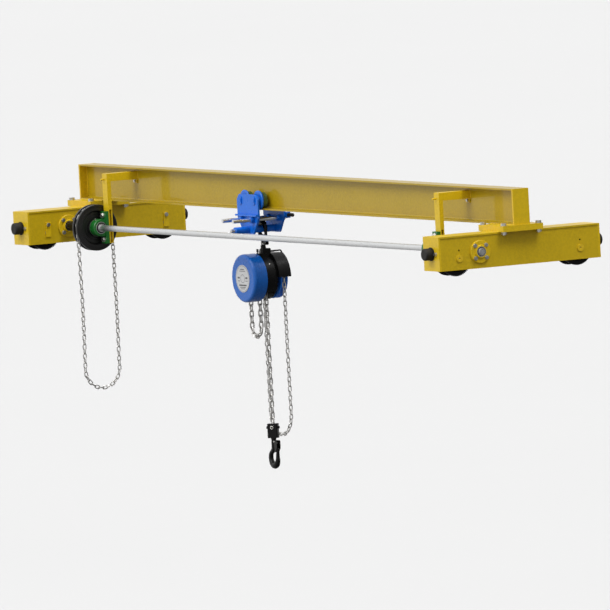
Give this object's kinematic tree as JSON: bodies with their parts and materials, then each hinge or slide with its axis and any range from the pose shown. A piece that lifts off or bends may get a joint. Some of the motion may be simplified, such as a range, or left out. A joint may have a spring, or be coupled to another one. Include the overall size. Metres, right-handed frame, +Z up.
{
  "type": "overhead travelling crane",
  "caption": "Hand-operated overhead travelling crane: an I-beam girder on wheeled end carriages, a hand-chain cross shaft, a push beam trolley and a hanging chain hoist.",
  "frame": {"origin": "middle of the crane between the runway rails, at the level of the rail tops under the wheel treads", "axes": "+X along the girder, +Y away from the side with the driven shaft, +Z up"},
  "size_m": [4.498, 1.0174, 1.5084],
  "materials": {
    "yellow_paint": "glossy, slightly metallic",
    "zinc_bolts": "zinc plated",
    "rubber": "matte",
    "black_iron": "satin black over cast iron",
    "bright_steel": "turned, lightly dulled",
    "gear_steel": "oiled",
    "green_paint": "satin enamel",
    "chain_steel": "zinc plated",
    "blue_paint": "glossy enamel",
    "roller_steel": "machined",
    "chrome": "bright",
    "black_paint": "glossy enamel",
    "label": "plain, no text"
  },
  "bodies": {
    "bridge": {"main_girder": "yellow_paint", "girder_end_plates": "yellow_paint", "girder_foot_plates": "yellow_paint", "carriage_head_plates": "yellow_paint", "saddle_bolts": "zinc_bolts", "carriage_left": "yellow_paint", "carriage_right": "yellow_paint", "carriage_end_plates": "yellow_paint", "buffers": "rubber", "wheel_axles": "bright_steel", "axle_keepers": "yellow_paint", "carriage_bolts": "zinc_bolts", "flange_bearings": "yellow_paint", "shaft_brackets": "yellow_paint", "pillow_blocks": "green_paint", "bracket_bolts": "zinc_bolts", "bearing_races": "bright_steel", "bearing_seals": "rubber", "drive_hand_chain": "chain_steel"},
    "driven_shaft": {"cross_shaft": "bright_steel", "drive_pinions": "gear_steel", "shaft_coupling": "black_iron", "drive_chain_wheel": "black_iron"},
    "wheel_front_left": {"travel_wheel_front_left": "black_iron"},
    "wheel_front_right": {"travel_wheel_front_right": "black_iron"},
    "wheel_rear_left": {"travel_wheel_rear_left": "black_iron"},
    "wheel_rear_right": {"travel_wheel_rear_right": "black_iron"},
    "trolley": {"trolley_side_plate_front": "blue_paint", "trolley_side_plate_rear": "blue_paint", "roller_pins": "bright_steel", "trolley_spacer_rods": "chrome", "load_bar": "chrome", "load_bar_sleeves": "blue_paint", "trolley_stop_buffer": "rubber"},
    "roller_front_left": {"trolley_roller_front_left": "roller_steel"},
    "roller_front_right": {"trolley_roller_front_right": "roller_steel"},
    "roller_rear_left": {"trolley_roller_rear_left": "roller_steel"},
    "roller_rear_right": {"trolley_roller_rear_right": "roller_steel"},
    "suspension": {"top_hook": "black_paint"},
    "top_latch": {"top_hook_latch": "black_paint"},
    "hoist": {"hoist_plate_front": "black_paint", "hoist_plate_rear": "black_paint", "hoist_shell": "black_paint", "hoist_cross_members": "black_paint", "gear_cover": "blue_paint", "label_disc": "label", "hand_wheel_guard": "black_paint", "guard_bail": "black_paint", "hoist_hand_chain": "chain_steel", "slack_load_chain": "chain_steel"},
    "hoist_drive": {"hoist_hand_wheel": "blue_paint", "brake_disc": "gear_steel", "pinion_shaft": "gear_steel"},
    "gear_left": {"disc_gear_left": "gear_steel"},
    "gear_right": {"disc_gear_right": "gear_steel"},
    "sheave": {"load_sheave": "gear_steel"},
    "hook_lift": {"hook_block": "black_paint", "load_chain": "chain_steel"},
    "lower_hook": {"load_hook": "black_paint"},
    "lower_latch": {"load_hook_latch": "black_paint"}
  },
  "joints": [
    {"name": "cross_shaft_spin", "type": "hinge", "parent": "bridge", "child": "driven_shaft", "pos_m": [0, -0.22923, 0.1006], "axis": [1, 0, 0], "continuous": true},
    {"name": "wheel_front_left_spin", "type": "hinge", "parent": "bridge", "child": "wheel_front_left", "pos_m": [-2.126, -0.348, 0.075], "axis": [1, 0, 0], "continuous": true},
    {"name": "wheel_front_right_spin", "type": "hinge", "parent": "bridge", "child": "wheel_front_right", "pos_m": [2.126, -0.348, 0.075], "axis": [1, 0, 0], "continuous": true},
    {"name": "wheel_rear_left_spin", "type": "hinge", "parent": "bridge", "child": "wheel_rear_left", "pos_m": [-2.126, 0.348, 0.075], "axis": [1, 0, 0], "continuous": true},
    {"name": "wheel_rear_right_spin", "type": "hinge", "parent": "bridge", "child": "wheel_rear_right", "pos_m": [2.126, 0.348, 0.075], "axis": [1, 0, 0], "continuous": true},
    {"name": "trolley_travel", "type": "slide", "parent": "bridge", "child": "trolley", "axis": [1, 0, 0], "range_m": [-0.94, 1.91]},
    {"name": "roller_front_left_spin", "type": "hinge", "parent": "trolley", "child": "roller_front_left", "pos_m": [-0.479, -0.04, 0.2676], "axis": [0, 1, 0], "continuous": true},
    {"name": "roller_front_right_spin", "type": "hinge", "parent": "trolley", "child": "roller_front_right", "pos_m": [-0.341, -0.04, 0.2676], "axis": [0, 1, 0], "continuous": true},
    {"name": "roller_rear_left_spin", "type": "hinge", "parent": "trolley", "child": "roller_rear_left", "pos_m": [-0.479, 0.04, 0.2676], "axis": [0, 1, 0], "continuous": true},
    {"name": "roller_rear_right_spin", "type": "hinge", "parent": "trolley", "child": "roller_rear_right", "pos_m": [-0.341, 0.04, 0.2676], "axis": [0, 1, 0], "continuous": true},
    {"name": "hoist_swing", "type": "hinge", "parent": "trolley", "child": "suspension", "pos_m": [-0.41, 0, 0.1176], "axis": [0, 1, 0], "range_deg": [-10, 10]},
    {"name": "top_latch_hinge", "type": "hinge", "parent": "suspension", "child": "top_latch", "pos_m": [-0.394, 0, 0.041], "axis": [0, 1, 0], "range_deg": [-15, 0], "stiffness_Nm_per_rad": 0.06, "springref_deg": 22.92},
    {"name": "hoist_swivel", "type": "hinge", "parent": "suspension", "child": "hoist", "pos_m": [-0.411, 0, -0.0254], "axis": [0, 0, 1], "continuous": true},
    {"name": "hand_wheel_turn", "type": "hinge", "parent": "hoist", "child": "hoist_drive", "pos_m": [-0.444, 0, -0.1304], "axis": [0, 1, 0], "range_deg": [-780, 780]},
    {"name": "disc_gear_left_spin", "type": "hinge", "parent": "hoist", "child": "gear_left", "pos_m": [-0.498, 0, -0.1304], "axis": [0, 1, 0], "range_deg": [-261, 261]},
    {"name": "disc_gear_right_spin", "type": "hinge", "parent": "hoist", "child": "gear_right", "pos_m": [-0.39, 0, -0.1304], "axis": [0, 1, 0], "range_deg": [-261, 261]},
    {"name": "load_sheave_spin", "type": "hinge", "parent": "hoist", "child": "sheave", "pos_m": [-0.444, 0, -0.1304], "axis": [0, 1, 0], "range_deg": [-87, 87]},
    {"name": "hook_lift_travel", "type": "slide", "parent": "hoist", "child": "hook_lift", "axis": [0, 0, 1], "range_m": [-0.05, 0.05]},
    {"name": "load_hook_swivel", "type": "hinge", "parent": "hook_lift", "child": "lower_hook", "pos_m": [-0.411, 0, -0.9614], "axis": [0, 0, 1], "continuous": true},
    {"name": "load_latch_hinge", "type": "hinge", "parent": "lower_hook", "child": "lower_latch", "pos_m": [-0.39, 0, -0.9699], "axis": [0, 1, 0], "range_deg": [0, 15], "stiffness_Nm_per_rad": 0.06, "springref_deg": -22.92}
  ],
  "couplings": [
    {"joint": "wheel_front_left_spin", "follows": "cross_shaft_spin", "ratio": -0.39655},
    {"joint": "wheel_front_right_spin", "follows": "cross_shaft_spin", "ratio": -0.39655},
    {"joint": "roller_front_left_spin", "follows": "trolley_travel", "rad_per_m": 24.39},
    {"joint": "roller_front_right_spin", "follows": "trolley_travel", "rad_per_m": 24.39},
    {"joint": "roller_rear_left_spin", "follows": "trolley_travel", "rad_per_m": 24.39},
    {"joint": "roller_rear_right_spin", "follows": "trolley_travel", "rad_per_m": 24.39},
    {"joint": "disc_gear_left_spin", "follows": "hand_wheel_turn", "ratio": -0.33333},
    {"joint": "disc_gear_right_spin", "follows": "hand_wheel_turn", "ratio": -0.33333},
    {"joint": "load_sheave_spin", "follows": "hand_wheel_turn", "ratio": 0.11111},
    {"joint": "hook_lift_travel", "follows": "hand_wheel_turn", "m_per_rad": -0.0036667}
  ]
}
